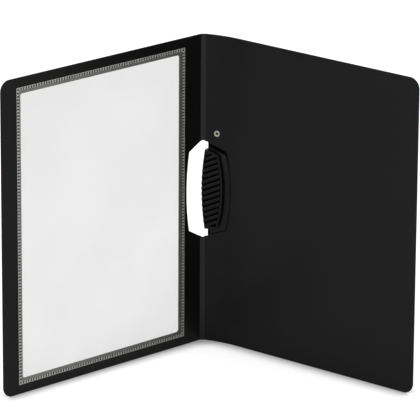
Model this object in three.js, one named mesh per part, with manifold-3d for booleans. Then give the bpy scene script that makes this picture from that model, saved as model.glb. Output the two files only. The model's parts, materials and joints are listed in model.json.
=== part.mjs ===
// A report cover with a swing clip, stood open on its bottom edges.
//
// Millimetres, +Z up. The spine stands at the back and both covers open towards -Y. The covers and
// the spine are one plastic sheet, creased twice. A clear film is welded over the window in the
// front cover. A moulded clip turns on a hollow rivet in the back cover and passes through a
// cut-out in the spine, so that its ribbed jaw lies over the edge of the pages.

import * as THREE from "three";
import { mergeVertices } from "three/addons/utils/BufferGeometryUtils.js";
import Module from "manifold-3d";

const wasm = await Module();
wasm.setup();

const DEGREE = Math.PI / 180;

// The sheet: the height and width of each cover, the spine between the creases, the thickness.
const COVER_HEIGHT = 292.1;
const COVER_WIDTH = 232;
const SPINE_WIDTH = 5;
const SHEET = 0.5;
const CORNER_RADIUS = 10;
const FOLD_CLEARANCE = 0.1;

// How it stands: the spine's turn, and each cover's angle from straight ahead.
const SPINE_TURN = 3.7;
const FRONT_ANGLE = 47.8;
const BACK_ANGLE = 52;
const BACK_CURL = 20;
const BACK_CURL_LENGTH = 32;

// The window in the front cover, and its film.
const WINDOW_WIDTH = 184;
const WINDOW_HEIGHT = 263;
const WINDOW_FROM_SPINE = 26;
const WINDOW_FROM_BOTTOM = 14.2;
const WINDOW_RADIUS = 2.5;
const FILM = 0.2;
const FILM_CORNER = 1;
const FILM_LAP_SPINE = 6.2;
const FILM_LAP_FREE = 4.4;
const FILM_LAP_TOP = 5.8;
const FILM_LAP_BOTTOM = 5.4;

// The weld seam: a ladder of pressed cells between two rails.
const SEAM_WIDTH = 3.6;
const SEAM_HEIGHT = 0.25;
const SEAM_RAIL = 0.6;
const SEAM_PITCH = 3.6;
const SEAM_RUNG = 1.2;
const SEAM_DOT_RADIUS = 0.8;

// The cut-out for the clip, across the spine and into both covers.
const SLOT_HEIGHT = 90;
const SLOT_END_ARCH = 1.2;
const SHOULDER_DROP = 7.5;
const FRONT_CUT_SHOULDER = 13.5;
const FRONT_CUT_BULGE = 3.1;

// The back cover is only notched at its crease edge, and pressed thinner behind the clip.
const NOTCH_DEPTH = 2.3;
const NOTCH_RADIUS = 1.2;
const RECESS_DEPTH = 0.2;
const RECESS_SHOULDER = 21;
const RECESS_BULGE = 4.6;

// The rivet, placed on the back cover by its distance from the crease and above the cut-out.
const RIVET_FROM_SPINE = 11;
const RIVET_ABOVE_SLOT = 8.6;
const RIVET_BORE_RADIUS = 1.2;
const RIVET_BARREL_RADIUS = 1.8;
const RIVET_FLANGE_RADIUS = 2.9;
const RIVET_FLANGE = 0.7;
const RIVET_ROLL = 0.4;

// The clip: an outer plate, a wall round the spine edge, and a ribbed jaw inside.
const CLIP_END_ROOM = 7.25;
const CLIP_HEIGHT = SLOT_HEIGHT - 2 * CLIP_END_ROOM;
const CLIP_BULGE = FRONT_CUT_BULGE;
const CLIP_WALL = 1.6;
const PLATE = 1.6;
const PLATE_LAP = 3;
const PLATE_SHOULDER = RECESS_SHOULDER + PLATE_LAP;
const PLATE_BULGE = RECESS_BULGE;
const PLATE_DROP = 4.5;
const PAGE_GAP = 1.9;
const JAW = 2.4;
const JAW_ROUND = 1;
const JAW_SHOULDER = FRONT_CUT_SHOULDER;
const JAW_BULGE = 4.7;
const JAW_DROP = 3;
const JAW_TIP = 2;
const LUG_RADIUS = 5.5;
const LUG_ROOT_ACROSS = 12;
const LUG_ROOT_DOWN = 18;
const RIB_PITCH = 5.3;
const RIB_GROOVE = 1.2;
const RIB_HEIGHT = 0.8;
const RIB_SLOPE = 25;
const RIB_MARGIN_SPINE = 0.5;
const RIB_MARGIN_PAGE = 2.6;
const RIB_MARGIN_END = 1.8;

// Clearances: between a piece and its seat, and round the turning rivet.
const SEAT_GAP = 0.3;
const RUNNING_GAP = 0.25;

// Values that several pieces share.
const HALF_CREASE = (SHEET + FOLD_CLEARANCE) / 2;
const MIDDLE = COVER_HEIGHT / 2;
const SLOT_TOP = MIDDLE + SLOT_HEIGHT / 2;
const SLOT_BOTTOM = MIDDLE - SLOT_HEIGHT / 2;
const RIVET_HEIGHT = SLOT_TOP + RIVET_ABOVE_SLOT;
const CURL_RADIUS = BACK_CURL_LENGTH / (BACK_CURL * DEGREE);
const PLATE_FACE = SHEET / 2 + SEAT_GAP;
const PLATE_BACK = PLATE_FACE + PLATE;
const JAW_FACE = PAGE_GAP - PLATE_FACE;
const JAW_TOP = JAW_FACE + JAW;

const BLACK_SHEET = { color: 0x1d1d1c, roughness: 0.55, metalness: 0 };
const BLACK_MOULDING = { color: 0x171717, roughness: 0.42, metalness: 0 };
const CLEAR_FILM = { color: 0xdfe3e2, roughness: 0.25, metalness: 0, transparent: true, opacity: 0.4 };
const PLATED_STEEL = { color: 0xc4c2b4, roughness: 0.3, metalness: 1 };

// A closed mesh as a solid that can be joined and cut. Triangles that merging closes up are left out.
function toSolid(geometry) {
  const bare = geometry.clone();
  bare.deleteAttribute("normal");
  bare.deleteAttribute("uv");
  const merged = mergeVertices(bare, 1e-4);
  const vertProperties = Float32Array.from(merged.getAttribute("position").array);
  const triangles = [];
  for (let first = 0; first < merged.index.count; first += 3) {
    const corners = [0, 1, 2].map((corner) => merged.index.getX(first + corner));
    if (new Set(corners).size === 3) triangles.push(...corners);
  }
  const triVerts = Uint32Array.from(triangles);
  return new wasm.Manifold(new wasm.Mesh({ numProp: 3, vertProperties, triVerts }));
}

function toGeometry(solid) {
  const { vertProperties, triVerts } = solid.getMesh();
  const geometry = new THREE.BufferGeometry();
  geometry.setAttribute("position", new THREE.BufferAttribute(vertProperties, 3));
  geometry.setIndex(new THREE.BufferAttribute(triVerts, 1));
  geometry.computeVertexNormals();
  return geometry;
}

function makePiece(name, geometry, finish) {
  const piece = new THREE.Mesh(geometry, new THREE.MeshStandardMaterial(finish));
  piece.name = name;
  return piece;
}

// A slab with an outline drawn in the X-Z plane, from one Y to a higher one.
function slab(outline, from, to, options = {}) {
  const settings = { depth: to - from, bevelEnabled: false, curveSegments: 12, ...options };
  return new THREE.ExtrudeGeometry(outline, settings).rotateX(Math.PI / 2).translate(0, to, 0);
}

// A disc or drum about a line along Y.
function drum(radius, from, to, sides = 32) {
  return new THREE.CylinderGeometry(radius, radius, to - from, sides).translate(0, (from + to) / 2, 0);
}

// An arc from the pen's place at height zFrom to zTo, swelling by bulge to the side it is drawn on.
function swell(path, x, zFrom, zTo, bulge) {
  const half = Math.abs(zTo - zFrom) / 2;
  const size = Math.abs(bulge);
  const radius = (half * half + size * size) / (2 * size);
  const sweep = Math.asin(half / radius);
  const side = Math.sign(bulge);
  const centreX = x + bulge - side * radius;
  const start = side > 0 ? Math.sign(zFrom - zTo) * sweep : Math.PI - Math.sign(zFrom - zTo) * sweep;
  const end = side > 0 ? -start : 2 * Math.PI - start;
  path.absarc(centreX, (zFrom + zTo) / 2, radius, start, end, end < start);
}

// A rectangle with round corners, as a path or a shape.
function roundRectangle(path, left, bottom, right, top, radius) {
  path.absarc(right - radius, bottom + radius, radius, -Math.PI / 2, 0, false);
  path.absarc(right - radius, top - radius, radius, 0, Math.PI / 2, false);
  path.absarc(left + radius, top - radius, radius, Math.PI / 2, Math.PI, false);
  path.absarc(left + radius, bottom + radius, radius, Math.PI, 1.5 * Math.PI, false);
  return path;
}

// The middle line of the back cover, in plan from its crease: a curl, then straight.
function alongBack(distance) {
  const curled = Math.min(distance, BACK_CURL_LENGTH);
  const turn = curled / CURL_RADIUS;
  const straight = distance - curled;
  const x = CURL_RADIUS * Math.sin(turn) + straight * Math.cos(turn);
  const y = CURL_RADIUS * (Math.cos(turn) - 1) - straight * Math.sin(turn);
  return new THREE.Matrix4().makeTranslation(x, y, 0).multiply(new THREE.Matrix4().makeRotationZ(-turn));
}

// A layer that follows the back cover from its crease edge, between two distances from the middle line.
function backLayer(innerFace, outerFace) {
  const start = Math.PI / 2 - HALF_CREASE / CURL_RADIUS;
  const end = Math.PI / 2 - BACK_CURL * DEGREE;
  const freeEdge = alongBack(COVER_WIDTH);
  const outer = new THREE.Vector3(0, outerFace, 0).applyMatrix4(freeEdge);
  const inner = new THREE.Vector3(0, innerFace, 0).applyMatrix4(freeEdge);
  const section = new THREE.Shape();
  section.absarc(0, -CURL_RADIUS, CURL_RADIUS + outerFace, start, end, true);
  section.lineTo(outer.x, outer.y);
  section.lineTo(inner.x, inner.y);
  section.absarc(0, -CURL_RADIUS, CURL_RADIUS + innerFace, end, start, false);
  const settings = { depth: COVER_HEIGHT, bevelEnabled: false, curveSegments: 8 };
  return new THREE.ExtrudeGeometry(section, settings);
}

// What is cut away outside a round corner whose centre is at the given place.
function cornerWaste(x, z, up) {
  const reach = CORNER_RADIUS + 2;
  const waste = new THREE.Shape();
  waste.moveTo(x, z + up * reach);
  waste.lineTo(x, z + up * CORNER_RADIUS);
  waste.absarc(x, z, CORNER_RADIUS, up * Math.PI / 2, 0, up > 0);
  waste.lineTo(x + reach, z);
  waste.lineTo(x + reach, z + up * reach);
  return slab(waste, -reach, reach);
}

// The cut-out's outline beyond a crease: sloped shoulders and a swelling side.
function drawCutOut(path, startX, shoulder, bulge) {
  path.lineTo(startX, SLOT_TOP);
  path.lineTo(shoulder, SLOT_TOP - SHOULDER_DROP);
  swell(path, shoulder, SLOT_TOP - SHOULDER_DROP, SLOT_BOTTOM + SHOULDER_DROP, bulge);
  path.lineTo(startX, SLOT_BOTTOM);
}

function makeBackCover() {
  const sheet = backLayer(-SHEET / 2, SHEET / 2);
  const cornerX = COVER_WIDTH - CORNER_RADIUS - BACK_CURL_LENGTH;
  const straightPart = alongBack(BACK_CURL_LENGTH);
  const topCorner = cornerWaste(cornerX, COVER_HEIGHT - CORNER_RADIUS, 1).applyMatrix4(straightPart);
  const bottomCorner = cornerWaste(cornerX, CORNER_RADIUS, -1).applyMatrix4(straightPart);

  const opening = new THREE.Shape();
  roundRectangle(opening, -SPINE_WIDTH, SLOT_BOTTOM, NOTCH_DEPTH, SLOT_TOP, NOTCH_RADIUS);
  const notch = slab(opening, -SPINE_WIDTH, SPINE_WIDTH, { curveSegments: 4 });

  const outline = new THREE.Shape();
  outline.moveTo(-SPINE_WIDTH, SLOT_TOP);
  drawCutOut(outline, 0, RECESS_SHOULDER, RECESS_BULGE);
  outline.lineTo(-SPINE_WIDTH, SLOT_BOTTOM);
  const atRivet = alongBack(RIVET_FROM_SPINE);
  const pressed = slab(outline, -SPINE_WIDTH, SPINE_WIDTH)
    .translate(-RIVET_FROM_SPINE, 0, 0)
    .applyMatrix4(atRivet);
  const innerSkin = backLayer(-SHEET, RECESS_DEPTH - SHEET / 2);
  const recess = toSolid(pressed).intersect(toSolid(innerSkin));
  const rivetHole = drum(RIVET_BARREL_RADIUS + RUNNING_GAP, -SPINE_WIDTH, SPINE_WIDTH)
    .translate(0, 0, RIVET_HEIGHT)
    .applyMatrix4(atRivet);

  const solid = toSolid(sheet)
    .subtract(toSolid(topCorner))
    .subtract(toSolid(bottomCorner))
    .subtract(toSolid(notch))
    .subtract(recess)
    .subtract(toSolid(rivetHole));
  return makePiece("back_cover", toGeometry(solid), BLACK_SHEET);
}

function makeFrontCover() {
  const outline = new THREE.Shape();
  outline.moveTo(HALF_CREASE, 0);
  outline.lineTo(COVER_WIDTH - CORNER_RADIUS, 0);
  outline.absarc(COVER_WIDTH - CORNER_RADIUS, CORNER_RADIUS, CORNER_RADIUS, -Math.PI / 2, 0, false);
  outline.lineTo(COVER_WIDTH, COVER_HEIGHT - CORNER_RADIUS);
  outline.absarc(
    COVER_WIDTH - CORNER_RADIUS,
    COVER_HEIGHT - CORNER_RADIUS,
    CORNER_RADIUS,
    0,
    Math.PI / 2,
    false,
  );
  outline.lineTo(HALF_CREASE, COVER_HEIGHT);
  drawCutOut(outline, HALF_CREASE, FRONT_CUT_SHOULDER, FRONT_CUT_BULGE);
  outline.holes.push(
    roundRectangle(
      new THREE.Path(),
      WINDOW_FROM_SPINE,
      WINDOW_FROM_BOTTOM,
      WINDOW_FROM_SPINE + WINDOW_WIDTH,
      WINDOW_FROM_BOTTOM + WINDOW_HEIGHT,
      WINDOW_RADIUS,
    ),
  );
  return makePiece("front_cover", slab(outline, -SHEET / 2, SHEET / 2, { curveSegments: 8 }), BLACK_SHEET);
}

// One end of the spine strip, from the cut-out's rounded end to the edge of the sheet.
function makeSpineStrip(name, slotEnd, sheetEnd) {
  const half = SPINE_WIDTH / 2 - HALF_CREASE;
  const away = Math.sign(sheetEnd - slotEnd);
  const strip = new THREE.Shape();
  strip.moveTo(-half, sheetEnd);
  strip.lineTo(-half, slotEnd);
  strip.quadraticCurveTo(0, slotEnd + away * 2 * SLOT_END_ARCH, half, slotEnd);
  strip.lineTo(half, sheetEnd);
  return makePiece(name, slab(strip, -SHEET / 2, SHEET / 2, { curveSegments: 6 }), BLACK_SHEET);
}

// The cells of one side of the seam, from a start point along a direction.
function seamCells(startX, startZ, alongX, alongZ, length) {
  const count = Math.floor(length / SEAM_PITCH);
  const margin = (length - count * SEAM_PITCH) / 2;
  const halfLong = (SEAM_PITCH - SEAM_RUNG) / 2;
  const halfWide = SEAM_WIDTH / 2 - SEAM_RAIL;
  const halfX = alongX ? halfLong : halfWide;
  const halfZ = alongX ? halfWide : halfLong;
  return Array.from({ length: count }, (_, index) => {
    const along = margin + (index + 0.5) * SEAM_PITCH;
    const x = startX + alongX * along;
    const z = startZ + alongZ * along;
    const cell = new THREE.Shape();
    cell.moveTo(x - halfX, z - halfZ);
    cell.lineTo(x + halfX, z - halfZ);
    cell.lineTo(x + halfX, z + halfZ);
    cell.lineTo(x - halfX, z + halfZ);
    return cell;
  });
}

function makeWindowFilm() {
  const left = WINDOW_FROM_SPINE - FILM_LAP_SPINE;
  const right = WINDOW_FROM_SPINE + WINDOW_WIDTH + FILM_LAP_FREE;
  const bottom = WINDOW_FROM_BOTTOM - FILM_LAP_BOTTOM;
  const top = WINDOW_FROM_BOTTOM + WINDOW_HEIGHT + FILM_LAP_TOP;
  const half = SEAM_WIDTH / 2;
  const across = right - left - 2 * SEAM_WIDTH;
  const up = top - bottom - 2 * SEAM_WIDTH;
  const sheet = roundRectangle(new THREE.Shape(), left, bottom, right, top, FILM_CORNER);
  const pane = roundRectangle(
    new THREE.Shape(),
    left + SEAM_WIDTH,
    bottom + SEAM_WIDTH,
    right - SEAM_WIDTH,
    top - SEAM_WIDTH,
    FILM_CORNER,
  );
  const cells = [
    ...seamCells(left + SEAM_WIDTH, bottom + half, 1, 0, across),
    ...seamCells(left + SEAM_WIDTH, top - half, 1, 0, across),
    ...seamCells(left + half, bottom + SEAM_WIDTH, 0, 1, up),
    ...seamCells(right - half, bottom + SEAM_WIDTH, 0, 1, up),
  ];

  const face = SHEET / 2 + SEAT_GAP;
  const paneFace = face + FILM;
  const crest = paneFace + SEAM_HEIGHT;
  const above = crest + SEAM_HEIGHT;
  let film = toSolid(slab(sheet, face, crest, { curveSegments: 3 }))
    .subtract(toSolid(slab(pane, paneFace, above, { curveSegments: 3 })))
    .subtract(toSolid(slab(cells, paneFace, above)));
  for (const x of [left + half, right - half]) {
    for (const z of [bottom + half, top - half]) {
      const dot = drum(SEAM_DOT_RADIUS, paneFace, above, 12).translate(x, 0, z);
      film = film.subtract(toSolid(dot));
    }
  }
  return makePiece("window_film", toGeometry(film), CLEAR_FILM);
}

// A clip outline from its spine side to its page side, in the rivet's frame.
function clipOutline(inset, shoulder, bulge, drop, tip) {
  const { spine, page, end } = inset;
  const high = MIDDLE + CLIP_HEIGHT / 2 - end - RIVET_HEIGHT;
  const low = MIDDLE - CLIP_HEIGHT / 2 + end - RIVET_HEIGHT;
  const shiftX = -RIVET_FROM_SPINE;
  const outline = new THREE.Shape();
  outline.moveTo(shiftX + spine, low);
  outline.lineTo(shiftX + tip, low);
  outline.lineTo(shiftX + shoulder - page, low + drop);
  swell(outline, shiftX + shoulder - page, low + drop, high - drop, bulge);
  outline.lineTo(shiftX + tip, high);
  outline.lineTo(shiftX + spine, high);
  swell(outline, shiftX + spine, high, low, -CLIP_BULGE);
  return outline;
}

// The plate's arm, from the rivet to its root in the plate.
function lugOutline() {
  const lug = new THREE.Shape();
  const slope = Math.atan2(-LUG_ROOT_DOWN, LUG_ROOT_ACROSS);
  lug.absarc(0, 0, LUG_RADIUS, slope + Math.PI / 2, slope + 1.5 * Math.PI, false);
  lug.absarc(
    LUG_ROOT_ACROSS,
    -LUG_ROOT_DOWN,
    LUG_RADIUS,
    slope - Math.PI / 2,
    slope + Math.PI / 2,
    false,
  );
  return lug;
}

// The ribs as one scalloped profile, pushed across the jaw at their slope.
function makeRibs() {
  const slope = RIB_SLOPE * DEGREE;
  const pitch = RIB_PITCH * Math.cos(slope);
  const reach = 2 * (JAW_SHOULDER + JAW_BULGE);
  const count = Math.ceil((CLIP_HEIGHT + reach) / pitch);
  const start = (-count * pitch) / 2;
  const sunk = JAW_TOP - JAW / 2;
  const profile = new THREE.Shape();
  profile.moveTo(start, sunk);
  for (let index = 0; index < count; index += 1) {
    const foot = start + index * pitch;
    const crestEnd = foot + pitch - RIB_GROOVE;
    profile.lineTo(foot, JAW_TOP);
    profile.quadraticCurveTo((foot + crestEnd) / 2, JAW_TOP + 2 * RIB_HEIGHT, crestEnd, JAW_TOP);
  }
  profile.lineTo(-start, JAW_TOP);
  profile.lineTo(-start, sunk);
  const length = 2 * reach;
  const ribs = new THREE.ExtrudeGeometry(profile, { depth: length, bevelEnabled: false, curveSegments: 4 });
  ribs.translate(0, 0, -length / 2);
  const across = new THREE.Vector3(Math.cos(slope), 0, Math.sin(slope));
  const inward = new THREE.Vector3(0, -1, 0);
  const up = new THREE.Vector3().crossVectors(inward, across);
  ribs.applyMatrix4(new THREE.Matrix4().makeBasis(up, inward, across));
  return ribs.translate(0, 0, MIDDLE - RIVET_HEIGHT);
}

// The wall that joins plate and jaw, along the clip's swelling spine side.
function wallOutline() {
  const high = MIDDLE + CLIP_HEIGHT / 2 - RIVET_HEIGHT;
  const low = MIDDLE - CLIP_HEIGHT / 2 - RIVET_HEIGHT;
  const wall = new THREE.Shape();
  wall.moveTo(-RIVET_FROM_SPINE, high);
  swell(wall, -RIVET_FROM_SPINE, high, low, -CLIP_BULGE);
  wall.lineTo(CLIP_WALL - RIVET_FROM_SPINE, low);
  swell(wall, CLIP_WALL - RIVET_FROM_SPINE, low, high, -CLIP_BULGE);
  return wall;
}

function makeSwingClip() {
  const whole = { spine: 0, page: 0, end: 0 };
  const ribbed = { spine: RIB_MARGIN_SPINE, page: RIB_MARGIN_PAGE, end: RIB_MARGIN_END };
  const insideJaw = -JAW_FACE - JAW / 2;
  const plateOutline = clipOutline(whole, PLATE_SHOULDER, PLATE_BULGE, PLATE_DROP, JAW_TIP);
  const jawOutline = clipOutline(whole, JAW_SHOULDER, JAW_BULGE, JAW_DROP, JAW_TIP);
  const ribOutline = clipOutline(ribbed, JAW_SHOULDER, JAW_BULGE, JAW_DROP, JAW_TIP);
  const plate = slab(plateOutline, PLATE_FACE, PLATE_BACK);
  const lug = slab(lugOutline(), PLATE_FACE, PLATE_BACK, { curveSegments: 10 });
  const wall = slab(wallOutline(), insideJaw, PLATE_BACK);
  const jaw = slab(jawOutline, -JAW_TOP + JAW_ROUND, -JAW_FACE - JAW_ROUND, {
    bevelEnabled: true,
    bevelThickness: JAW_ROUND,
    bevelSize: JAW_ROUND,
    bevelOffset: -JAW_ROUND,
    bevelSegments: 2,
  });
  const ribArea = slab(ribOutline, -JAW_TOP - 2 * RIB_HEIGHT, insideJaw);
  const rivetHole = drum(RIVET_BARREL_RADIUS + RUNNING_GAP, 0, 2 * PLATE_BACK);

  const solid = toSolid(plate)
    .add(toSolid(lug))
    .add(toSolid(wall))
    .add(toSolid(jaw))
    .add(toSolid(makeRibs()).intersect(toSolid(ribArea)))
    .subtract(toSolid(rivetHole));
  return makePiece("swing_clip", toGeometry(solid), BLACK_MOULDING);
}

function makeRivet() {
  const head = -SHEET / 2 - SEAT_GAP;
  const tail = PLATE_BACK + SEAT_GAP;
  const bore = RIVET_BORE_RADIUS;
  const barrel = RIVET_BARREL_RADIUS;
  const flange = RIVET_FLANGE_RADIUS;
  const profile = [
    [bore, head - RIVET_FLANGE],
    [flange - RIVET_ROLL, head - RIVET_FLANGE],
    [flange, head - RIVET_FLANGE + RIVET_ROLL],
    [flange, head],
    [barrel, head],
    [barrel, tail],
    [flange, tail],
    [flange, tail + RIVET_FLANGE - RIVET_ROLL],
    [flange - RIVET_ROLL, tail + RIVET_FLANGE],
    [bore, tail + RIVET_FLANGE],
    [bore, head - RIVET_FLANGE],
  ].map(([radius, y]) => new THREE.Vector2(radius, y));
  return makePiece("pivot_rivet", new THREE.LatheGeometry(profile, 32), PLATED_STEEL);
}

// The spine stands in the middle, with a frame at each crease that its cover turns in.
const cover = new THREE.Group();
const spine = new THREE.Group();
spine.rotation.z = SPINE_TURN * DEGREE;
spine.add(
  makeSpineStrip("spine_strip_top", SLOT_TOP, COVER_HEIGHT),
  makeSpineStrip("spine_strip_bottom", SLOT_BOTTOM, 0),
);
cover.add(spine);

const back = new THREE.Group();
back.position.set(SPINE_WIDTH / 2, 0, 0).applyAxisAngle(new THREE.Vector3(0, 0, 1), SPINE_TURN * DEGREE);
back.rotation.z = (BACK_ANGLE + BACK_CURL - 90) * DEGREE;
back.add(makeBackCover());
cover.add(back);

const rivetFrame = new THREE.Group();
alongBack(RIVET_FROM_SPINE).decompose(rivetFrame.position, rivetFrame.quaternion, rivetFrame.scale);
rivetFrame.position.z = RIVET_HEIGHT;
rivetFrame.add(makeSwingClip(), makeRivet());
back.add(rivetFrame);

const front = new THREE.Group();
front.position.set(-SPINE_WIDTH / 2, 0, 0).applyAxisAngle(new THREE.Vector3(0, 0, 1), SPINE_TURN * DEGREE);
front.rotation.z = (-90 - FRONT_ANGLE) * DEGREE;
front.add(makeFrontCover(), makeWindowFilm());
cover.add(front);

// The origin is on the ground, in the middle of the space that the cover takes up.
const extent = new THREE.Box3().setFromObject(cover, true);
const centre = extent.getCenter(new THREE.Vector3());
cover.position.set(-centre.x, -centre.y, 0);
cover.updateMatrixWorld(true);

export default cover;
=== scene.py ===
import json
import math

import bmesh
import bpy
from mathutils import Matrix, Vector
from mathutils.geometry import delaunay_2d_cdt


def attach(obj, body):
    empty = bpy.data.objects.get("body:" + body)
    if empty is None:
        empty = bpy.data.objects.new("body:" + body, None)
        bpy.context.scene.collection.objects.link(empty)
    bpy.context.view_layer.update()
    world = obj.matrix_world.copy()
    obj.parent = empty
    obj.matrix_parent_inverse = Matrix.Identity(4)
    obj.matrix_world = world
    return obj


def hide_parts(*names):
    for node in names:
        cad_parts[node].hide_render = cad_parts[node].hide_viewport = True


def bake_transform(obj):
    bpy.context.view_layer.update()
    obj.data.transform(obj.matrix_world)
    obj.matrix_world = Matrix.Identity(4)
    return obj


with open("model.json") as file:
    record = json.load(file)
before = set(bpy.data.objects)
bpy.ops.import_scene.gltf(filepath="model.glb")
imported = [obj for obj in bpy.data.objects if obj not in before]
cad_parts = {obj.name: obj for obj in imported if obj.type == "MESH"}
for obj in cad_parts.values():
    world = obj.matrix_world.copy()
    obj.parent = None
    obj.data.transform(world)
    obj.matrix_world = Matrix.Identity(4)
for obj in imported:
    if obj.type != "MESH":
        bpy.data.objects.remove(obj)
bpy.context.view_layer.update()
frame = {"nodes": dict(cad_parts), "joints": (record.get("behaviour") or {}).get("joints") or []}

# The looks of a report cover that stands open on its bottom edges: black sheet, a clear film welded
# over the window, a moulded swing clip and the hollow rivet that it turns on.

MM = 0.001
PLACES = {joint["name"]: Vector(joint["pos_m"]) for joint in frame["joints"]}

# Sizes of the real cover in millimetres, as the solids have them.
COVER_HEIGHT = 292.1
COVER_WIDTH = 232
CORNER_RADIUS = 10
CORNER_STEPS = 12
SHEET = 0.5
HALF_CREASE = 0.3
SLOT_TOP = 191.05
SLOT_BOTTOM = 101.05
FRONT_TURN = -137.8
BACK_TURN = -18
SPINE_TURN = 3.7

# The back cover's curl beside its crease, its notch, rivet hole and pressed recess.
CURL_LENGTH = 32
CURL_TURN = 20
CURL_RADIUS = CURL_LENGTH / math.radians(CURL_TURN)
CURL_STEPS = 20
NOTCH_DEPTH = 2.3
NOTCH_RADIUS = 1.2
NOTCH_STEPS = 5
RIVET_ALONG = 11
RIVET_HEIGHT = 199.65
RIVET_HOLE = 2.05
RIVET_STEPS = 64
HOLE_STEPS = 40
SHOULDER_DROP = 7.5
RECESS_SHOULDER = 21
RECESS_BULGE = 4.6
RECESS_LEFT = 3
HALF_BULGE_STEPS = 8
# The pressed line's width at the recess's top, sides and bottom, widest at the top as the painted shade
# under the recess's rim, and how far each face of the sheet, the line and the recess's floor lie from
# the sheet's middle.
LINE_INSETS = (3.8, 1.0, 0.6)
SKIN_INNER = (-SHEET / 2, 0.2, -0.05)
SKIN_OUTER = (SHEET / 2, 0.4, SHEET / 2)
# Shares of the line's width where its flanks turn, and between which its faces lie deepest.
LINE_LEVELS = (0, 0.15, 0.85, 1)
LINE_DEEP_FROM = 0.1
LINE_DEEP_TO = 0.92

# The film on the front cover, from the front crease and from the bottom edge.
FILM_LEFT = 19.8
FILM_RIGHT = 214.4
FILM_BOTTOM = 8.8
FILM_TOP = 283
WINDOW_LEFT = 26
WINDOW_RIGHT = 210
WINDOW_BOTTOM = 14.2
WINDOW_TOP = 277.2
FILM_FACE = 0.55
FILM = 0.2
SEAM_WIDTH = 3.6
SEAM_HEIGHT = 0.24
SEAM_OUTER_RAIL = 0.3
SEAM_INNER_RAIL = 0.9
# The bars are about 1.9 mm apart, too fine to show, so they are set wider and made broader.
SEAM_PITCH = 2.9
SEAM_RUNG = 1.35
SEAM_DOT_RADIUS = 1.1

# Room for rounding where a face's middle is held against a size.
ROUNDING = 0.01


def standing_frame(place, turn):
    """A frame at a joint's place, turned about the upright axis by an angle in radians."""
    return Matrix.Translation(place) @ Matrix.Rotation(turn, 4, "Z")


# Frames in which each cover's own sizes are written: x along the sheet from its crease, z up.
FRONT_FRAME = standing_frame(PLACES["front_fold"], math.radians(FRONT_TURN))
BACK_FRAME = standing_frame(PLACES["spine_fold"], math.radians(BACK_TURN))
CLIP_AXIS = Vector(next(j["axis"] for j in frame["joints"] if j["name"] == "clip_swing"))
RIVET_FRAME = standing_frame(
    PLACES["clip_swing"], math.atan2(CLIP_AXIS.y, CLIP_AXIS.x) - math.pi / 2
)


def linear(hex_colour):
    """An sRGB hex colour as the linear values that a shader takes."""
    parts = [int(hex_colour[i : i + 2], 16) / 255 for i in (1, 3, 5)]
    return (*[p / 12.92 if p <= 0.04045 else ((p + 0.055) / 1.055) ** 2.4 for p in parts], 1.0)


def add_node(tree, kind, inputs=None, **settings):
    """One node with its settings, and its sockets set to values or linked to other sockets."""
    node = tree.nodes.new(kind)
    for name, value in settings.items():
        setattr(node, name, value)
    for name, value in (inputs or {}).items():
        if isinstance(value, bpy.types.NodeSocket):
            tree.links.new(value, node.inputs[name])
        else:
            node.inputs[name].default_value = value
    return node


# Noise lies between these values for the most part.
NOISE_LOW = 0.3
NOISE_HIGH = 0.7
POLYPROPYLENE_IOR = 1.49
ABS_IOR = 1.53
# Where the weld's look fades, in metres across the front cover from its free edge to its spine.
FADE_ACROSS = (-0.16, -0.02)


def new_material(name):
    """An empty material with its output node."""
    material = bpy.data.materials.new(name)
    material.use_nodes = True
    tree = material.node_tree
    tree.nodes.clear()
    return material, tree, add_node(tree, "ShaderNodeOutputMaterial")


def patches(tree, size, detail=2.0):
    """A noise value fixed to the piece, with patches about so many millimetres wide."""
    place = add_node(tree, "ShaderNodeTexCoord").outputs["Object"]
    inputs = {"Vector": place, "Scale": 1 / (size * MM), "Detail": detail}
    return add_node(tree, "ShaderNodeTexNoise", inputs).outputs["Fac"]


def spread(tree, value, low, high, start=NOISE_LOW, end=NOISE_HIGH):
    """A value taken from one range to another, by default from the range that noise fills."""
    inputs = {"Value": value, "From Min": start, "From Max": end, "To Min": low, "To Max": high}
    return add_node(tree, "ShaderNodeMapRange", inputs).outputs["Result"]


def two_tones(tree, value, dark, light, start=0.0, end=1.0):
    """A colour that goes from one tone to another with a value."""
    ramp = add_node(tree, "ShaderNodeValToRGB", {"Fac": value})
    for stop, position, tone in zip(ramp.color_ramp.elements, (start, end), (dark, light)):
        stop.position = position
        stop.color = linear(tone)
    return ramp.outputs["Color"]


def grain(tree, height, strength, depth):
    """A normal that follows a value's bumps, with their depth in millimetres."""
    inputs = {"Height": height, "Strength": strength, "Distance": depth * MM}
    return add_node(tree, "ShaderNodeBump", inputs).outputs["Normal"]


def fading_to_spine(tree, far, near):
    """A value that goes from one at the cover's free edge to another at its spine."""
    place = add_node(tree, "ShaderNodeTexCoord").outputs["Object"]
    across = add_node(tree, "ShaderNodeSeparateXYZ", {"Vector": place}).outputs["X"]
    return spread(tree, across, far, near, *FADE_ACROSS)


def shade(tree, output, inputs):
    """The material's shader with its inputs, joined to the output."""
    shader = add_node(tree, "ShaderNodeBsdfPrincipled", inputs)
    tree.links.new(shader.outputs["BSDF"], output.inputs["Surface"])


def black_polypropylene_sheet(name, shine):
    """Extruded polypropylene sheet with a fine matt emboss that spreads highlights into a soft sheen.
    The emboss is about 0.3 mm, too fine to show, so it is drawn 1.2 mm wide and faint."""
    material, tree, output = new_material(name)
    emboss = patches(tree, 1.2)
    rubbed = patches(tree, 60, detail=3.0)
    inputs = {
        "Base Color": two_tones(tree, emboss, "#060606", "#0b0b0a", NOISE_LOW, NOISE_HIGH),
        "Roughness": spread(tree, rubbed, 0.3, 0.38),
        "Normal": grain(tree, emboss, 0.12, 0.1),
        "IOR": POLYPROPYLENE_IOR,
        "Specular IOR Level": shine,
    }
    shade(tree, output, inputs)
    return material


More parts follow.
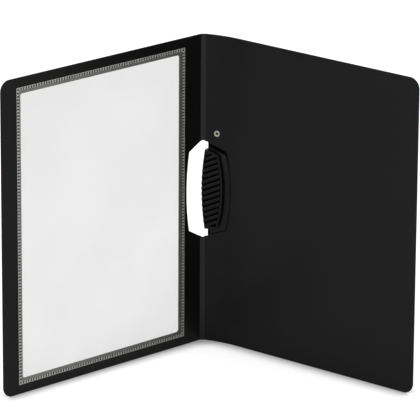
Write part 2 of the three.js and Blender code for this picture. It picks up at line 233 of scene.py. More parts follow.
def pressed_line_painted_shade():
    """The pressed line round the recess, painted near black as the shadow under its rim: no emboss,
    hardly any sheen.
    """
    material, tree, output = new_material("black polypropylene sheet, pressed line painted as shade")
    inputs = {
        "Base Color": two_tones(tree, patches(tree, 1.5), "#020202", "#060606"),
        "Roughness": 0.8,
        "IOR": POLYPROPYLENE_IOR,
        "Specular IOR Level": 0.02,
    }
    shade(tree, output, inputs)
    return material


def black_moulded_abs():
    """ABS, injection moulded in a finely spark-eroded tool: a tighter satin sheen than the sheet's."""
    material, tree, output = new_material("black ABS, moulded satin")
    spark = patches(tree, 0.8)
    inputs = {
        "Base Color": linear("#080807"),
        "Roughness": spread(tree, spark, 0.3, 0.4),
        "Normal": grain(tree, spark, 0.08, 0.05),
        "IOR": ABS_IOR,
        "Specular IOR Level": 0.2,
    }
    shade(tree, output, inputs)
    return material


def groove_floor_painted_shade():
    """ABS at the bottom of the jaw's grooves, painted near black with no sheen as the shade between the
    ribs.
    """
    material, tree, output = new_material("black ABS, painted shade between ribs")
    inputs = {
        "Base Color": two_tones(tree, patches(tree, 0.9), "#010101", "#040404"),
        "Roughness": 0.8,
        "IOR": ABS_IOR,
        "Specular IOR Level": 0.02,
    }
    shade(tree, output, inputs)
    return material


def clear_polypropylene_film():
    """Cast polypropylene film, clear with the slight milky haze that greys black things behind it."""
    material, tree, output = new_material("clear polypropylene film, cast")
    inputs = {
        "Base Color": linear("#c2c5c1"),
        "Roughness": 0.22,
        "IOR": POLYPROPYLENE_IOR,
        "Specular IOR Level": 0.3,
        "Alpha": spread(tree, patches(tree, 90), 0.13, 0.17),
    }
    shade(tree, output, inputs)
    return material


def film_on_the_sheet():
    """The film where it lies against the black sheet: its haze sinks in, and the black shows."""
    material, tree, output = new_material("clear polypropylene film, against the sheet")
    inputs = {
        "Base Color": linear("#a9aba8"),
        "Roughness": 0.3,
        "IOR": POLYPROPYLENE_IOR,
        "Alpha": spread(tree, patches(tree, 14), 0.02, 0.04),
    }
    shade(tree, output, inputs)
    return material


def welded_film():
    """The film where the welding tool pressed it into bars, whitened and rough on its crests."""
    material, tree, output = new_material("clear polypropylene film, weld crests")
    crush = patches(tree, 2.2)
    inputs = {
        "Base Color": two_tones(tree, crush, "#b0b0ac", "#d2d2cd", NOISE_LOW, NOISE_HIGH),
        "Roughness": 0.45,
        "IOR": POLYPROPYLENE_IOR,
        "Alpha": fading_to_spine(tree, 0.95, 0.6),
    }
    shade(tree, output, inputs)
    return material


def ironed_film():
    """The film where the welding tool's smooth shoe ironed it onto the sheet: a milky grey."""
    material, tree, output = new_material("clear polypropylene film, ironed beside the weld")
    inputs = {
        "Base Color": two_tones(tree, patches(tree, 8), "#8e8f8c", "#a6a7a4"),
        "Roughness": 0.45,
        "IOR": POLYPROPYLENE_IOR,
        "Alpha": fading_to_spine(tree, 0.6, 0.16),
    }
    shade(tree, output, inputs)
    return material


def nickel_plated_steel():
    """Drawn steel with dull nickel plating, slightly warm, marked by the setting tool."""
    material, tree, output = new_material("nickel plated steel, drawn and set")
    marks = patches(tree, 0.7, detail=3.0)
    inputs = {
        "Base Color": linear("#c9c6b8"),
        "Metallic": 1.0,
        "Roughness": spread(tree, marks, 0.24, 0.38),
    }
    shade(tree, output, inputs)
    return material


def bore_painted_shade():
    """Steel in the rivet's bore, painted a dull dark grey-brown as the shade deep inside it."""
    material, tree, output = new_material("steel, painted shade in the bore")
    inputs = {
        "Base Color": two_tones(tree, patches(tree, 0.6), "#1b1a17", "#3a3830"),
        "Metallic": 1.0,
        "Roughness": 0.6,
    }
    shade(tree, output, inputs)
    return material


SHEET_MATERIAL = black_polypropylene_sheet("black polypropylene sheet, matt embossed", 0.25)
# The creasing tool ironed the spine between its creases, so its emboss is flatter and shines more.
SPINE_MATERIAL = black_polypropylene_sheet("black polypropylene sheet, flattened by creasing", 0.4)
# The pressed line round the recess is painted near black as shade.
LINE_SHADE_MATERIAL = pressed_line_painted_shade()
CLIP_MATERIAL = black_moulded_abs()
# The floor between the jaw's ribs is painted near black as shade.
GROOVE_SHADE_MATERIAL = groove_floor_painted_shade()
FILM_MATERIAL = clear_polypropylene_film()
LAP_MATERIAL = film_on_the_sheet()
WELD_MATERIAL = welded_film()
IRONED_MATERIAL = ironed_film()
RIVET_MATERIAL = nickel_plated_steel()
# The rivet's bore is painted dark as shade.
BORE_SHADE_MATERIAL = bore_painted_shade()


def place_piece(name, mesh, material, body, stands_for=()):
    """A finished mesh as a piece of the cover, on its body and in its material slot."""
    piece = bpy.data.objects.new(name, mesh)
    bpy.context.scene.collection.objects.link(piece)
    mesh.materials.clear()
    mesh.materials.append(material)
    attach(piece, body)
    if stands_for:
        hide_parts(*stands_for)
    return piece


def mark_smooth(work, angle):
    """Shades every face smooth, with sharp edges where faces meet at more than an angle."""
    for face in work.faces:
        face.smooth = True
    for edge in work.edges:
        edge.smooth = len(edge.link_faces) == 2 and edge.calc_face_angle(0) < math.radians(angle)


def cleaned(mesh, join=0.0, thinnest=0.0, outwards=True, sharp=None):
    """Joins corners closer than so many millimetres, takes out slivers and loose corners, turns the
    faces outwards, and shades them smooth up to an angle."""
    work = bmesh.new()
    work.from_mesh(mesh)
    loose = [vertex for vertex in work.verts if not vertex.link_faces]
    bmesh.ops.delete(work, geom=loose, context="VERTS")
    if join:
        bmesh.ops.remove_doubles(work, verts=work.verts, dist=join * MM)
    if thinnest:
        bmesh.ops.dissolve_degenerate(work, edges=work.edges, dist=thinnest * MM)
    if outwards:
        bmesh.ops.recalc_face_normals(work, faces=work.faces)
    if sharp:
        mark_smooth(work, sharp)
    work.to_mesh(mesh)
    work.free()
    return mesh


def smooth_copy(node, sharp=28):
    """A CAD node's mesh with its corners joined and its curved faces shaded smooth."""
    mesh = frame["nodes"][node].data.copy()
    mesh.name = node + "_smooth"
    return cleaned(mesh, join=0.002, outwards=False, sharp=sharp)


def paint(piece, material, frame_of_sizes, chosen):
    """Gives a second material to the faces whose middles, in a frame's millimetres, pass a test."""
    piece.data.materials.append(material)
    to_sizes = frame_of_sizes.inverted()
    for face in piece.data.polygons:
        if chosen(to_sizes @ face.center / MM):
            face.material_index = 1


def mesh_from(name, points, faces, matrix, smooth=False):
    """A mesh from points in millimetres and faces, set in place by a matrix."""
    mesh = bpy.data.meshes.new(name)
    mesh.from_pydata([Vector(p) * MM for p in points], [], faces)
    mesh.transform(matrix)
    mesh.polygons.foreach_set("use_smooth", [smooth] * len(mesh.polygons))
    mesh.update()
    return mesh


def block(low, high):
    """The corners and faces of a box between two corners."""
    xs, ys, zs = zip(low, high)
    points = [(x, y, z) for x in xs for y in ys for z in zs]
    faces = [(0, 1, 3, 2), (4, 6, 7, 5), (0, 4, 5, 1), (2, 3, 7, 6), (0, 2, 6, 4), (1, 5, 7, 3)]
    return points, faces


def joined(parts):
    """Several lists of points and faces as one."""
    points, faces = [], []
    for more_points, more_faces in parts:
        start = len(points)
        points += more_points
        faces += [tuple(start + corner for corner in face) for face in more_faces]
    return points, faces


# The sheet: both covers and the two ends of the spine.
def arc_points(centre_x, centre_z, radius, start, end, steps):
    """Points round an arc, angles in degrees."""
    angles = [math.radians(start + (end - start) * step / steps) for step in range(steps + 1)]
    return [(centre_x + radius * math.cos(a), centre_z + radius * math.sin(a)) for a in angles]


def recess_loop(top, side_inset, bottom):
    """The pressed recess's outline on the back cover, drawn in by an inset for each side."""
    high = SLOT_TOP - SHOULDER_DROP
    low = SLOT_BOTTOM + SHOULDER_DROP
    middle, half = (high + low) / 2, (high - low) / 2
    slope = SHOULDER_DROP / RECESS_SHOULDER
    left = RECESS_LEFT + side_inset
    points = [(left, SLOT_TOP - slope * left - top)]
    for step in range(2 * HALF_BULGE_STEPS + 1):
        t = 1 - step / HALF_BULGE_STEPS
        side = RECESS_SHOULDER + RECESS_BULGE * (1 - t * t) - side_inset
        points.append((side, middle + t * half - (top if t > 0 else bottom) * t * abs(t)))
    points.append((left, SLOT_BOTTOM + slope * left + bottom))
    return points


def line_loop(share):
    """The recess's outline drawn in by a share of its pressed line's width."""
    return recess_loop(*(share * inset for inset in LINE_INSETS))


def inside(loop, x, z):
    """Whether a point lies inside a closed loop."""
    hit = False
    for (x1, z1), (x2, z2) in zip(loop, loop[1:] + loop[:1]):
        if (z1 > z) != (z2 > z) and x < x1 + (z - z1) / (z2 - z1) * (x2 - x1):
            hit = not hit
    return hit


def back_spot(along, offset):
    """A place on the back cover in its own frame, along its curl and then its straight part."""
    curled = min(along, CURL_LENGTH)
    turn = curled / CURL_RADIUS
    straight = along - curled
    x = (CURL_RADIUS + offset) * math.sin(turn) + straight * math.cos(turn)
    y = (CURL_RADIUS + offset) * math.cos(turn) - CURL_RADIUS - straight * math.sin(turn)
    return x, y


def back_sheet_mesh():
    """The back cover as one curled sheet, notched at its crease and pressed thinner behind the clip."""
    width, height, corner, notch = COVER_WIDTH, COVER_HEIGHT, CORNER_RADIUS, NOTCH_RADIUS
    deep = NOTCH_DEPTH - notch
    outline = [(HALF_CREASE, 0.0)]
    outline += arc_points(width - corner, corner, corner, -90, 0, CORNER_STEPS)
    outline += arc_points(width - corner, height - corner, corner, 0, 90, CORNER_STEPS)
    outline += [(HALF_CREASE, height), (HALF_CREASE, SLOT_TOP)]
    outline += arc_points(deep, SLOT_TOP - notch, notch, 90, 0, NOTCH_STEPS)
    outline += arc_points(deep, SLOT_BOTTOM + notch, notch, 0, -90, NOTCH_STEPS)
    outline += [(HALF_CREASE, SLOT_BOTTOM)]
    hole = arc_points(RIVET_ALONG, RIVET_HEIGHT, RIVET_HOLE, 0, 360, HOLE_STEPS)[:-1]
    levels = [line_loop(share) for share in LINE_LEVELS]
    spots, edges = [], []
    for loop in (outline, hole, *levels):
        first = len(spots)
        spots += [Vector(spot) for spot in loop]
        edges += [(first + i, first + (i + 1) % len(loop)) for i in range(len(loop))]
    for step in range(1, CURL_STEPS + 1):
        along = CURL_LENGTH * step / CURL_STEPS
        edges.append((len(spots), len(spots) + 1))
        spots += [Vector((along, 0.0)), Vector((along, height))]
    inside_edges, closest = 1, 1e-5
    spots, _, faces, *_ = delaunay_2d_cdt(spots, edges, [], inside_edges, closest)
    kept = []
    for face in faces:
        x = sum(spots[i].x for i in face) / len(face)
        z = sum(spots[i].y for i in face) / len(face)
        if inside(outline, x, z) and not inside(hole, x, z):
            kept.append(tuple(face))
    points = []
    line_outer, line_inner = line_loop(LINE_DEEP_FROM), line_loop(LINE_DEEP_TO)
    for sheet_side, line_side, floor_side in (SKIN_INNER, SKIN_OUTER):
        for spot in spots:
            in_floor = inside(line_inner, spot.x, spot.y)
            in_line = inside(line_outer, spot.x, spot.y)
            offset = floor_side if in_floor else line_side if in_line else sheet_side
            x, y = back_spot(spot.x, offset)
            points.append((x, y, spot.y))
    count = len(spots)
    uses = {}
    for face in kept:
        for a, b in zip(face, face[1:] + face[:1]):
            uses[frozenset((a, b))] = None if frozenset((a, b)) in uses else (a, b)
    walls = [(b, a, a + count, b + count) for a, b in filter(None, uses.values())]
    all_faces = kept + [tuple(count + i for i in reversed(face)) for face in kept] + walls
    return cleaned(mesh_from("back_sheet", points, all_faces, BACK_FRAME), sharp=24)


back_sheet = place_piece(
    "back_sheet", back_sheet_mesh(), SHEET_MATERIAL, "back", ["back_cover"]
)


def on_shaded_pressed_line(spot):
    """Whether a place on the back cover lies on the pressed line, which is painted dark as shade."""
    along = math.atan2(spot.x, spot.y + CURL_RADIUS) * CURL_RADIUS
    return inside(line_loop(0), along, spot.z) and not inside(line_loop(1), along, spot.z)


# Painted shade: the pressed line round the recess gets the near-black material.
paint(back_sheet, LINE_SHADE_MATERIAL, BACK_FRAME, on_shaded_pressed_line)
front_sheet = smooth_copy("front_cover")
place_piece("front_sheet", front_sheet, SHEET_MATERIAL, "front", ["front_cover"])
for end in ("top", "bottom"):
    node = "spine_strip_" + end
    strip = smooth_copy(node)
    place_piece("spine_sheet_" + end, strip, SPINE_MATERIAL, "spine", [node])

# The moulded clip. The ribs on its jaw, with painted shade between them, come after it.
moulding = smooth_copy("swing_clip", sharp=40)
place_piece("clip_moulding", moulding, CLIP_MATERIAL, "clip", ["swing_clip"])


# The jaw's ribs, in the rivet's frame: the solid's ribs with steeper flanks and rounded ends.
RIB_PITCH = 4.803
RIB_FIRST = -55.84
RIB_COUNT = 24
RIB_HALF = 1.5
RIB_HEIGHT = 0.8
RIB_SLOPE = math.radians(25)
RIB_TAPER = 1.3
RIB_END_WIDTH = 0.55
RIB_FLATNESS = 0.5
SHORTEST_RIB = 4
RIBBED_HALF = 35.6
RIB_MARGIN_SPINE = 1.1
RIB_MARGIN_PAGE = 2.1
JAW_WIDTH = 13.5
JAW_BULGE_SPINE = 3.1
JAW_BULGE_PAGE = 4.7
JAW_TOP = 3.75
JAW_MIDDLE = COVER_HEIGHT / 2 - RIVET_HEIGHT
GROOVE_FLOOR = 0.27
GROOVE_PLATE_SHARE = 0.97
# How deep the ribs and the groove floor are sunk into the jaw, so that no gap shows.
RIB_SINK = 0.05
FLOOR_SINK = 0.03


def jaw_margins(z):
    """Where the jaw's ribbed part starts and ends at a height."""
    bulge = 1 - (z / RIBBED_HALF) ** 2
    left = -RIVET_ALONG - JAW_BULGE_SPINE * bulge + RIB_MARGIN_SPINE
    right = -RIVET_ALONG + JAW_WIDTH - RIB_MARGIN_PAGE + JAW_BULGE_PAGE * bulge
    return left, right


def on_jaw(x, z):
    """Whether a place on the jaw lies inside the margins of its ribbed part."""
    left, right = jaw_margins(z)
    return abs(z) < RIBBED_HALF and left < x < right


def groove_plate(steps=24):
    """The matt floor that shows between the ribs, as a thin plate with the ribbed part's outline; it
    carries the grooves' painted shade.
    """
    half = RIBBED_HALF * GROOVE_PLATE_SHARE
    heights = [half * (2 * step / steps - 1) for step in range(steps + 1)]
    outline = [(jaw_margins(z)[0], z) for z in heights]
    outline += [(jaw_margins(z)[1], z) for z in reversed(heights)]
    count = len(outline)
    levels = (-JAW_TOP + FLOOR_SINK, -JAW_TOP - GROOVE_FLOOR)
    points = [(x, level, z + JAW_MIDDLE) for level in levels for x, z in outline]
    faces = [tuple(range(count)), tuple(range(2 * count - 1, count - 1, -1))]
    faces += [(i, (i + 1) % count, (i + 1) % count + count, i + count) for i in range(count)]
    return points, faces


def jaw_ribs_mesh():
    """One rounded ridge for each rib, cut to the jaw's outline and tapered at both ends."""
    along = Vector((math.cos(RIB_SLOPE), 0, math.sin(RIB_SLOPE)))
    across = Vector((-math.sin(RIB_SLOPE), 0, math.cos(RIB_SLOPE)))
    profile_steps, run_steps = 10, 18
    # Places 0.1 mm apart along a rib, further out both ways than any rib goes.
    tries = [t / 10 for t in range(-400, 401)]
    parts = []
    for index in range(RIB_COUNT):
        middle = across * (RIB_FIRST + index * RIB_PITCH)
        inside_at = [t for t in tries if on_jaw(*(middle + along * t).xz)]
        if not inside_at or inside_at[-1] - inside_at[0] < SHORTEST_RIB:
            continue
        first, last = inside_at[0], inside_at[-1]
        points = []
        for step in range(run_steps + 1):
            share = 0.5 - 0.5 * math.cos(math.pi * step / run_steps)
            t = first + (last - first) * share
            end_room = min(t - first, last - t)
            fade = math.sqrt(max(0.0, 1 - (1 - min(1.0, end_room / RIB_TAPER)) ** 2))
            half = RIB_HALF * (RIB_END_WIDTH + (1 - RIB_END_WIDTH) * fade)
            for turn in range(profile_steps + 1):
                angle = math.pi * turn / profile_steps
                up = RIB_HEIGHT * math.sin(angle) ** RIB_FLATNESS * fade
                spot = middle + along * t - across * half * math.cos(angle)
                points.append((spot.x, -JAW_TOP - up + RIB_SINK, spot.z + JAW_MIDDLE))
        row = profile_steps + 1
        faces = []
        for step in range(run_steps):
            for turn in range(profile_steps):
                a = step * row + turn
                faces.append((a, a + 1, a + row + 1, a + row))
            faces.append((step * row, (step + 1) * row, (step + 2) * row - 1, (step + 1) * row - 1))
        faces += [tuple(range(row)), tuple(reversed(range(run_steps * row, (run_steps + 1) * row)))]
        parts.append((points, faces))
    mesh = mesh_from("clip_ribs", *joined([groove_plate(), *parts]), RIVET_FRAME)
    return cleaned(mesh, join=0.0005, sharp=50)


ribs = place_piece("clip_ribs", jaw_ribs_mesh(), CLIP_MATERIAL, "clip")


def on_shaded_groove_floor(spot):
    """Whether a place on the ribs' mesh lies on the floor between them, which is painted dark as shade.
    """
    return spot.y > -JAW_TOP - GROOVE_FLOOR - ROUNDING


# Painted shade: the floor between the ribs gets the near-black material.
paint(ribs, GROOVE_SHADE_MATERIAL, RIVET_FRAME, on_shaded_groove_floor)


def crease_web(name, crease, cover, turn_into_cover, turn_into_spine, low, high):
    """The thin web that the sheet bends at, from a cover's edge across the crease to the spine's."""
    lap = 0.25
    half_thick = 0.11
    bow = 0.12
    steps = 8
    reach = HALF_CREASE + lap
    into_cover = Vector((math.cos(turn_into_cover), math.sin(turn_into_cover), 0))
    into_spine = Vector((math.cos(turn_into_spine), math.sin(turn_into_spine), 0))
    inner = (into_cover + into_spine).normalized()
    line = []
    for step in range(steps + 1):
        t = 2 * step / steps - 1
        bend = (1 - abs(t)) ** 2 * bow
        along = into_spine * max(0.0, -t) + into_cover * max(0.0, t)
        line.append(along * reach + inner * bend * reach)
    points, faces = [], []
    for index, centre in enumerate(line):
        before = line[max(0, index - 1)]
        after = line[min(steps, index + 1)]
        run = (after - before).normalized()
        side = Vector((-run.y, run.x, 0)) * half_thick
        for offset in (side, -side):
            for height in (low, high):
                spot = centre + offset
                points.append((spot.x, spot.y, height))
    for index in range(steps):
        a, b = 4 * index, 4 * index + 4
        faces += [(a, a + 1, b + 1, b), (a + 2, b + 2, b + 3, a + 3)]
        faces += [(a, b, b + 2, a + 2), (a + 1, a + 3, b + 3, b + 1)]
    last = 4 * steps
    faces += [(0, 2, 3, 1), (last, last + 1, last + 3, last + 2)]
    mesh = mesh_from(name, points, faces, Matrix.Translation(crease))
    piece = bpy.data.objects.new(name, mesh)
    bpy.context.scene.collection.objects.link(piece)
    mesh.materials.append(SHEET_MATERIAL)
    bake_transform(piece)


BACK_CREASE = (PLACES["spine_fold"], "back", math.radians(BACK_TURN), math.radians(SPINE_TURN + 180))
FRONT_CREASE = (PLACES["front_fold"], "front", math.radians(FRONT_TURN), math.radians(SPINE_TURN))
for end, low, high in (("bottom", 0.0, SLOT_BOTTOM), ("top", SLOT_TOP, COVER_HEIGHT)):
    crease_web("back_crease_web_" + end, *BACK_CREASE, low, high)
    crease_web("front_crease_web_" + end, *FRONT_CREASE, low, high)


# The window's film, and the ladder that the welding tool pressed round its edge.
pane_points, pane_faces = block(
    (WINDOW_LEFT, FILM_FACE, WINDOW_BOTTOM), (WINDOW_RIGHT, FILM_FACE + FILM, WINDOW_TOP)
)
pane = mesh_from("window_pane", pane_points, pane_faces, FRONT_FRAME)
place_piece("window_pane", pane, FILM_MATERIAL, "front", ["window_film"])


def ring(outer, inner, low, high):
    """Four blocks between an outer and an inner outline of (left, bottom, right, top)."""
    left, bottom, right, top = outer
    hole_left, hole_bottom, hole_right, hole_top = inner
    return joined(
        [
            block((left, low, bottom), (right, high, hole_bottom)),
            block((left, low, hole_top), (right, high, top)),
            block((left, low, hole_bottom), (hole_left, high, hole_top)),
            block((hole_right, low, hole_bottom), (right, high, hole_top)),
        ]
    )


def film_outline(inset):
    """The film's outline drawn in by an inset."""
    return FILM_LEFT + inset, FILM_BOTTOM + inset, FILM_RIGHT - inset, FILM_TOP - inset


window_outline = (WINDOW_LEFT, WINDOW_BOTTOM, WINDOW_RIGHT, WINDOW_TOP)
crest_low, crest_high = FILM_FACE + FILM, FILM_FACE + FILM + SEAM_HEIGHT
lap_ring = ring(film_outline(0), film_outline(SEAM_WIDTH), FILM_FACE, FILM_FACE + FILM)
lap = mesh_from("film_lap", *lap_ring, FRONT_FRAME)
place_piece("film_lap", lap, LAP_MATERIAL, "front")
ironed_parts = [
    ring(film_outline(SEAM_WIDTH), window_outline, FILM_FACE, FILM_FACE + FILM),
    ring(film_outline(SEAM_WIDTH - SEAM_INNER_RAIL), film_outline(SEAM_WIDTH), crest_low, crest_high),
]
ironed = mesh_from("film_ironed", *joined(ironed_parts), FRONT_FRAME)
place_piece("film_ironed", ironed, IRONED_MATERIAL, "front")


def ladder_tree():
    """Bars of one size along a straight line, as a tree with named inputs."""
    tree = bpy.data.node_groups.new("weld ladder side", "GeometryNodeTree")
    tree.interface.new_socket("Geometry", in_out="OUTPUT", socket_type="NodeSocketGeometry")
    for name, kind in (
        ("Count", "NodeSocketInt"),
        ("First bar", "NodeSocketVector"),
        ("Step", "NodeSocketVector"),
        ("Bar size", "NodeSocketVector"),
        ("Material", "NodeSocketMaterial"),
    ):
        tree.interface.new_socket(name, in_out="INPUT", socket_type=kind)
    given = add_node(tree, "NodeGroupInput").outputs
    places = add_node(
        tree,
        "GeometryNodeMeshLine",
        {"Count": given["Count"], "Start Location": given["First bar"], "Offset": given["Step"]},
    )
    bar = add_node(tree, "GeometryNodeMeshCube", {"Size": given["Bar size"]})
    bars = add_node(
        tree,
        "GeometryNodeInstanceOnPoints",
        {"Points": places.outputs["Mesh"], "Instance": bar.outputs["Mesh"]},
    )
    real = add_node(tree, "GeometryNodeRealizeInstances", {"Geometry": bars.outputs["Instances"]})
    finished = add_node(
        tree,
        "GeometryNodeSetMaterial",
        {"Geometry": real.outputs["Geometry"], "Material": given["Material"]},
    )
    add_node(tree, "NodeGroupOutput", {"Geometry": finished.outputs["Geometry"]})
    return tree


def grown_mesh(tree, name, values):
    """The tree's result as a plain mesh."""
    holder = bpy.data.objects.new(name, bpy.data.meshes.new(name))
    bpy.context.scene.collection.objects.link(holder)
    modifier = holder.modifiers.new("grow", "NODES")
    modifier.node_group = tree
    for item in tree.interface.items_tree:
        if item.in_out == "INPUT" and item.name in values:
            modifier[item.identifier] = values[item.name]
    evaluated = holder.evaluated_get(bpy.context.evaluated_depsgraph_get())
    mesh = bpy.data.meshes.new_from_object(evaluated)
    holder.modifiers.remove(modifier)
    bpy.data.objects.remove(holder)
    return mesh


LADDER = ladder_tree()
crest = FILM_FACE + FILM + SEAM_HEIGHT / 2
half_seam = SEAM_WIDTH / 2
bar_length = SEAM_WIDTH - SEAM_OUTER_RAIL - SEAM_INNER_RAIL
bar_shift = (SEAM_INNER_RAIL - SEAM_OUTER_RAIL) / 2
left, bottom, right, top = film_outline(SEAM_WIDTH)
middle_left, middle_bottom, middle_right, middle_top = film_outline(half_seam - bar_shift)
sides = {
    "bottom": ((left, middle_bottom), (1, 0), right - left),
    "top": ((left, middle_top), (1, 0), right - left),
    "spine_side": ((middle_left, bottom), (0, 1), top - bottom),
    "free_side": ((middle_right, bottom), (0, 1), top - bottom),
}
for side, ((x, z), (along_x, along_z), length) in sides.items():
    count = round(length / SEAM_PITCH)
    step = length / count * MM
    size = (SEAM_RUNG, SEAM_HEIGHT, bar_length) if along_x else (bar_length, SEAM_HEIGHT, SEAM_RUNG)
    bars = grown_mesh(
        LADDER,
        "weld_bars_" + side,
        {
            "Count": count + 1,
            "First bar": (x * MM, crest * MM, z * MM),
            "Step": (along_x * step, 0, along_z * step),
            "Bar size": tuple(value * MM for value in size),
            "Material": WELD_MATERIAL,
        },
    )
    bars.transform(FRONT_FRAME)
    place_piece("weld_bars_" + side, bars, WELD_MATERIAL, "front")


def corner_pad(centre_x, centre_z):
    """The square pad in each corner of the weld, with a round hole down to the film."""
    sides_count = 32
    half = half_seam - SEAM_OUTER_RAIL
    loops = []
    for y in (crest_low, crest_high):
        for square in (True, False):
            loop = []
            for index in range(sides_count):
                angle = 2 * math.pi * (index + 0.5) / sides_count
                c, s = math.cos(angle), math.sin(angle)
                reach = half / max(abs(c), abs(s)) if square else SEAM_DOT_RADIUS
                loop.append((centre_x + reach * c, y, centre_z + reach * s))
            loops.append(loop)
    points = [point for loop in loops for point in loop]
    faces = []
    for index in range(sides_count):
        following = (index + 1) % sides_count
        for first, second in ((0, 2), (2, 3), (3, 1), (1, 0)):
            a, b = first * sides_count, second * sides_count
            faces.append((a + index, a + following, b + following, b + index))
    return points, faces


outer_rail = ring(film_outline(0), film_outline(SEAM_OUTER_RAIL), crest_low, crest_high)
pads = [
    corner_pad(x, z)
    for x in (FILM_LEFT + half_seam, FILM_RIGHT - half_seam)
    for z in (FILM_BOTTOM + half_seam, FILM_TOP - half_seam)
]
rails = mesh_from("weld_rails", *joined([outer_rail, *pads]), FRONT_FRAME)
place_piece("weld_rails", cleaned(rails), WELD_MATERIAL, "front")


def spun(name, profile, steps, matrix):
    """A closed profile of (radius, y) points turned about the local Y axis."""
    points, faces = [], []
    for step in range(steps):
        angle = 2 * math.pi * step / steps
        points += [(r * math.cos(angle), y, r * math.sin(angle)) for r, y in profile]
    size = len(profile)
    for step in range(steps):
        a, b = step * size, (step + 1) % steps * size
        for index in range(size):
            following = (index + 1) % size
            faces.append((a + index, a + following, b + following, b + index))
    return cleaned(mesh_from(name, points, faces, matrix, smooth=True), join=0.001, thinnest=0.0005)


# The rivet: a drawn eyelet with a rolled flange at each end. Its bore ends in a floor near the tail.
BORE, BARREL, FLANGE = 1.2, 1.75, 2.85
HEAD_FACE, TAIL_FACE, FLANGE_THICK = -0.58, 2.48, 0.62
BORE_FLOOR = TAIL_FACE + 0.2
BORE_MOUTH = -0.9
# The lip between the bore and the flange's flat: how far out and how far below the flat it runs.
LIP = ((0, 0.3), (0.12, 0.08), (0.35, 0))


def rolled_flange(face, away):
    """The points of one flange from its bore to its barrel, with a round roll at the rim."""
    rounds = 7
    radius = FLANGE_THICK / 2
    lip = [(BORE + out, face + away * (FLANGE_THICK - down)) for out, down in LIP]
    for index in range(rounds + 1):
        angle = math.pi / 2 - math.pi * index / rounds
        rim = FLANGE - radius + radius * math.cos(angle)
        lip.append((rim, face + away * (radius + radius * math.sin(angle))))
    return lip + [(BARREL, face)]


rivet_profile = [(0, BORE_FLOOR), (BORE, BORE_FLOOR), *rolled_flange(HEAD_FACE, -1)]
rivet_profile += [*reversed(rolled_flange(TAIL_FACE, 1)[len(LIP) :]), (0, TAIL_FACE + FLANGE_THICK)]
rivet = place_piece(
    "rivet_eyelet",
    spun("rivet_eyelet", rivet_profile, RIVET_STEPS, RIVET_FRAME),
    RIVET_MATERIAL,
    "back",
    ["pivot_rivet"],
)


def in_shaded_bore(spot):
    """Whether a place on the rivet lies inside its bore, which is painted dark as shade."""
    deep = BORE_MOUTH < spot.y < BORE_FLOOR + ROUNDING
    return deep and math.hypot(spot.x, spot.z) < BORE + ROUNDING


# Painted shade: the inside of the bore gets the dark material.
paint(rivet, BORE_SHADE_MATERIAL, RIVET_FRAME, in_shaded_bore)


# The stage: a pale floor that is white to the camera but keeps the shadow, and soft studio light.
# The floor's lift, how much of it is left behind the film, and how far the shade beside edges goes.
FLOOR_LIFT = 0.6
LIFT_BEHIND_FILM = 0.68
SHADE_REACH = 21
SHADE_AT_EDGE = 0.5
SHADE_GONE = 0.92
FLOOR_HALF = 4000
FLOOR_DROP = 0.2
# The surroundings' strength for the light that they shed, against 1 where they are seen.
SKY_LIGHT = 0.55


def pale_floor():
    """A matt floor that the camera sees lifted to white, less so in the shade beside the edges."""
    material, tree, output = new_material("pale studio floor")
    path = add_node(tree, "ShaderNodeLightPath").outputs
    matt = add_node(tree, "ShaderNodeBsdfDiffuse", {"Color": linear("#dcdcdc")})
    openness = add_node(
        tree, "ShaderNodeAmbientOcclusion", {"Distance": SHADE_REACH * MM}, samples=8
    ).outputs["AO"]
    amount = spread(tree, openness, 0.0, FLOOR_LIFT, SHADE_AT_EDGE, SHADE_GONE)
    # Seen through the film it is lifted less, so that the film's haze shows against it.
    through_film = spread(tree, path["Transparent Depth"], 1.0, LIFT_BEHIND_FILM, 0.0, 1.0)
    strength = add_node(
        tree, "ShaderNodeMath", {0: amount, 1: through_film}, operation="MULTIPLY"
    ).outputs["Value"]
    lift = add_node(tree, "ShaderNodeEmission", {"Color": linear("#ffffff"), "Strength": strength})
    lifted = add_node(tree, "ShaderNodeAddShader")
    tree.links.new(matt.outputs["BSDF"], lifted.inputs[0])
    tree.links.new(lift.outputs["Emission"], lifted.inputs[1])
    chosen = add_node(tree, "ShaderNodeMixShader", {"Fac": path["Is Camera Ray"]})
    tree.links.new(matt.outputs["BSDF"], chosen.inputs[1])
    tree.links.new(lifted.outputs["Shader"], chosen.inputs[2])
    tree.links.new(chosen.outputs["Shader"], output.inputs["Surface"])
    return material


floor_corners = [(x * FLOOR_HALF, y * FLOOR_HALF, 0) for x, y in ((-1, -1), (1, -1), (1, 1), (-1, 1))]
floor_place = Matrix.Translation((0, 0, -FLOOR_DROP * MM))
floor_mesh = mesh_from("floor", floor_corners, [(0, 1, 2, 3)], floor_place)
floor_mesh.materials.append(pale_floor())
floor = bpy.data.objects.new("floor", floor_mesh)
bpy.context.scene.collection.objects.link(floor)


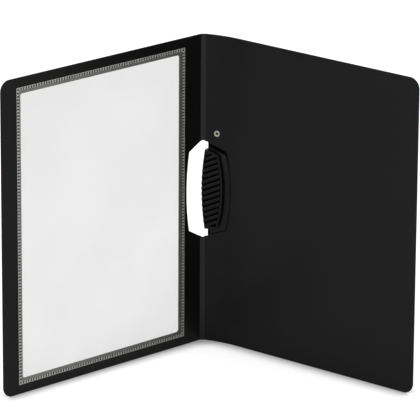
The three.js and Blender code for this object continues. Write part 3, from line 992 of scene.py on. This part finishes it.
def studio_world():
    """Surroundings that are white to the camera and in reflections, and shed a softer light."""
    world = bpy.data.worlds.new("studio")
    world.use_nodes = True
    tree = world.node_tree
    tree.nodes.clear()
    path = add_node(tree, "ShaderNodeLightPath").outputs
    seen = path["Is Camera Ray"]
    for kind in ("Is Glossy Ray", "Is Transmission Ray"):
        either = add_node(tree, "ShaderNodeMath", {0: seen, 1: path[kind]}, operation="MAXIMUM")
        seen = either.outputs["Value"]
    strength = spread(tree, seen, SKY_LIGHT, 1.0, 0.0, 1.0)
    sky = add_node(tree, "ShaderNodeBackground", {"Color": linear("#ffffff"), "Strength": strength})
    add_node(tree, "ShaderNodeOutputWorld", {"Surface": sky.outputs["Background"]})
    return world


bpy.context.scene.world = studio_world()
# Each softbox's name, place and size in metres, and power in watts. All face the cover's middle.
LAMPS = (
    ("key softbox", (-0.9, -1.5, 1.9), 1.2, 14),
    ("fill softbox", (1.6, -1.2, 1.2), 1.4, 7),
    ("top softbox", (0.2, 0.5, 2.2), 1.4, 9),
)
LAMPS_AIM = Vector((0, 0, 0.14))

for name, place, size, power in LAMPS:
    lamp = bpy.data.lights.new(name, "AREA")
    lamp.size = size
    lamp.energy = power
    stand = bpy.data.objects.new(name, lamp)
    stand.location = place
    stand.rotation_euler = (LAMPS_AIM - Vector(place)).to_track_quat("-Z", "Y").to_euler()
    bpy.context.scene.collection.objects.link(stand)

# The camera at the photograph's viewing angle: a long lens from in front and above, in metres,
# degrees and millimetres.
CAMERA_PLACE = (0.01824, -3.57355, 1.333)
CAMERA_YAW = 0.2919
CAMERA_DOWN = 18.3057
CAMERA_ROLL = 0.3343
LENS = 362.3
SENSOR = 36
FARTHEST = 100

lens_data = bpy.data.cameras.new("camera")
lens_data.sensor_width = SENSOR
lens_data.lens = LENS
lens_data.clip_end = FARTHEST
camera = bpy.data.objects.new("camera", lens_data)
camera.matrix_world = (
    Matrix.Translation(CAMERA_PLACE)
    @ Matrix.Rotation(math.radians(CAMERA_YAW), 4, "Z")
    @ Matrix.Rotation(math.radians(90 - CAMERA_DOWN), 4, "X")
    @ Matrix.Rotation(math.radians(CAMERA_ROLL), 4, "Z")
)
bpy.context.scene.collection.objects.link(camera)
bpy.context.scene.camera = camera
bpy.context.scene.view_settings.view_transform = "Standard"
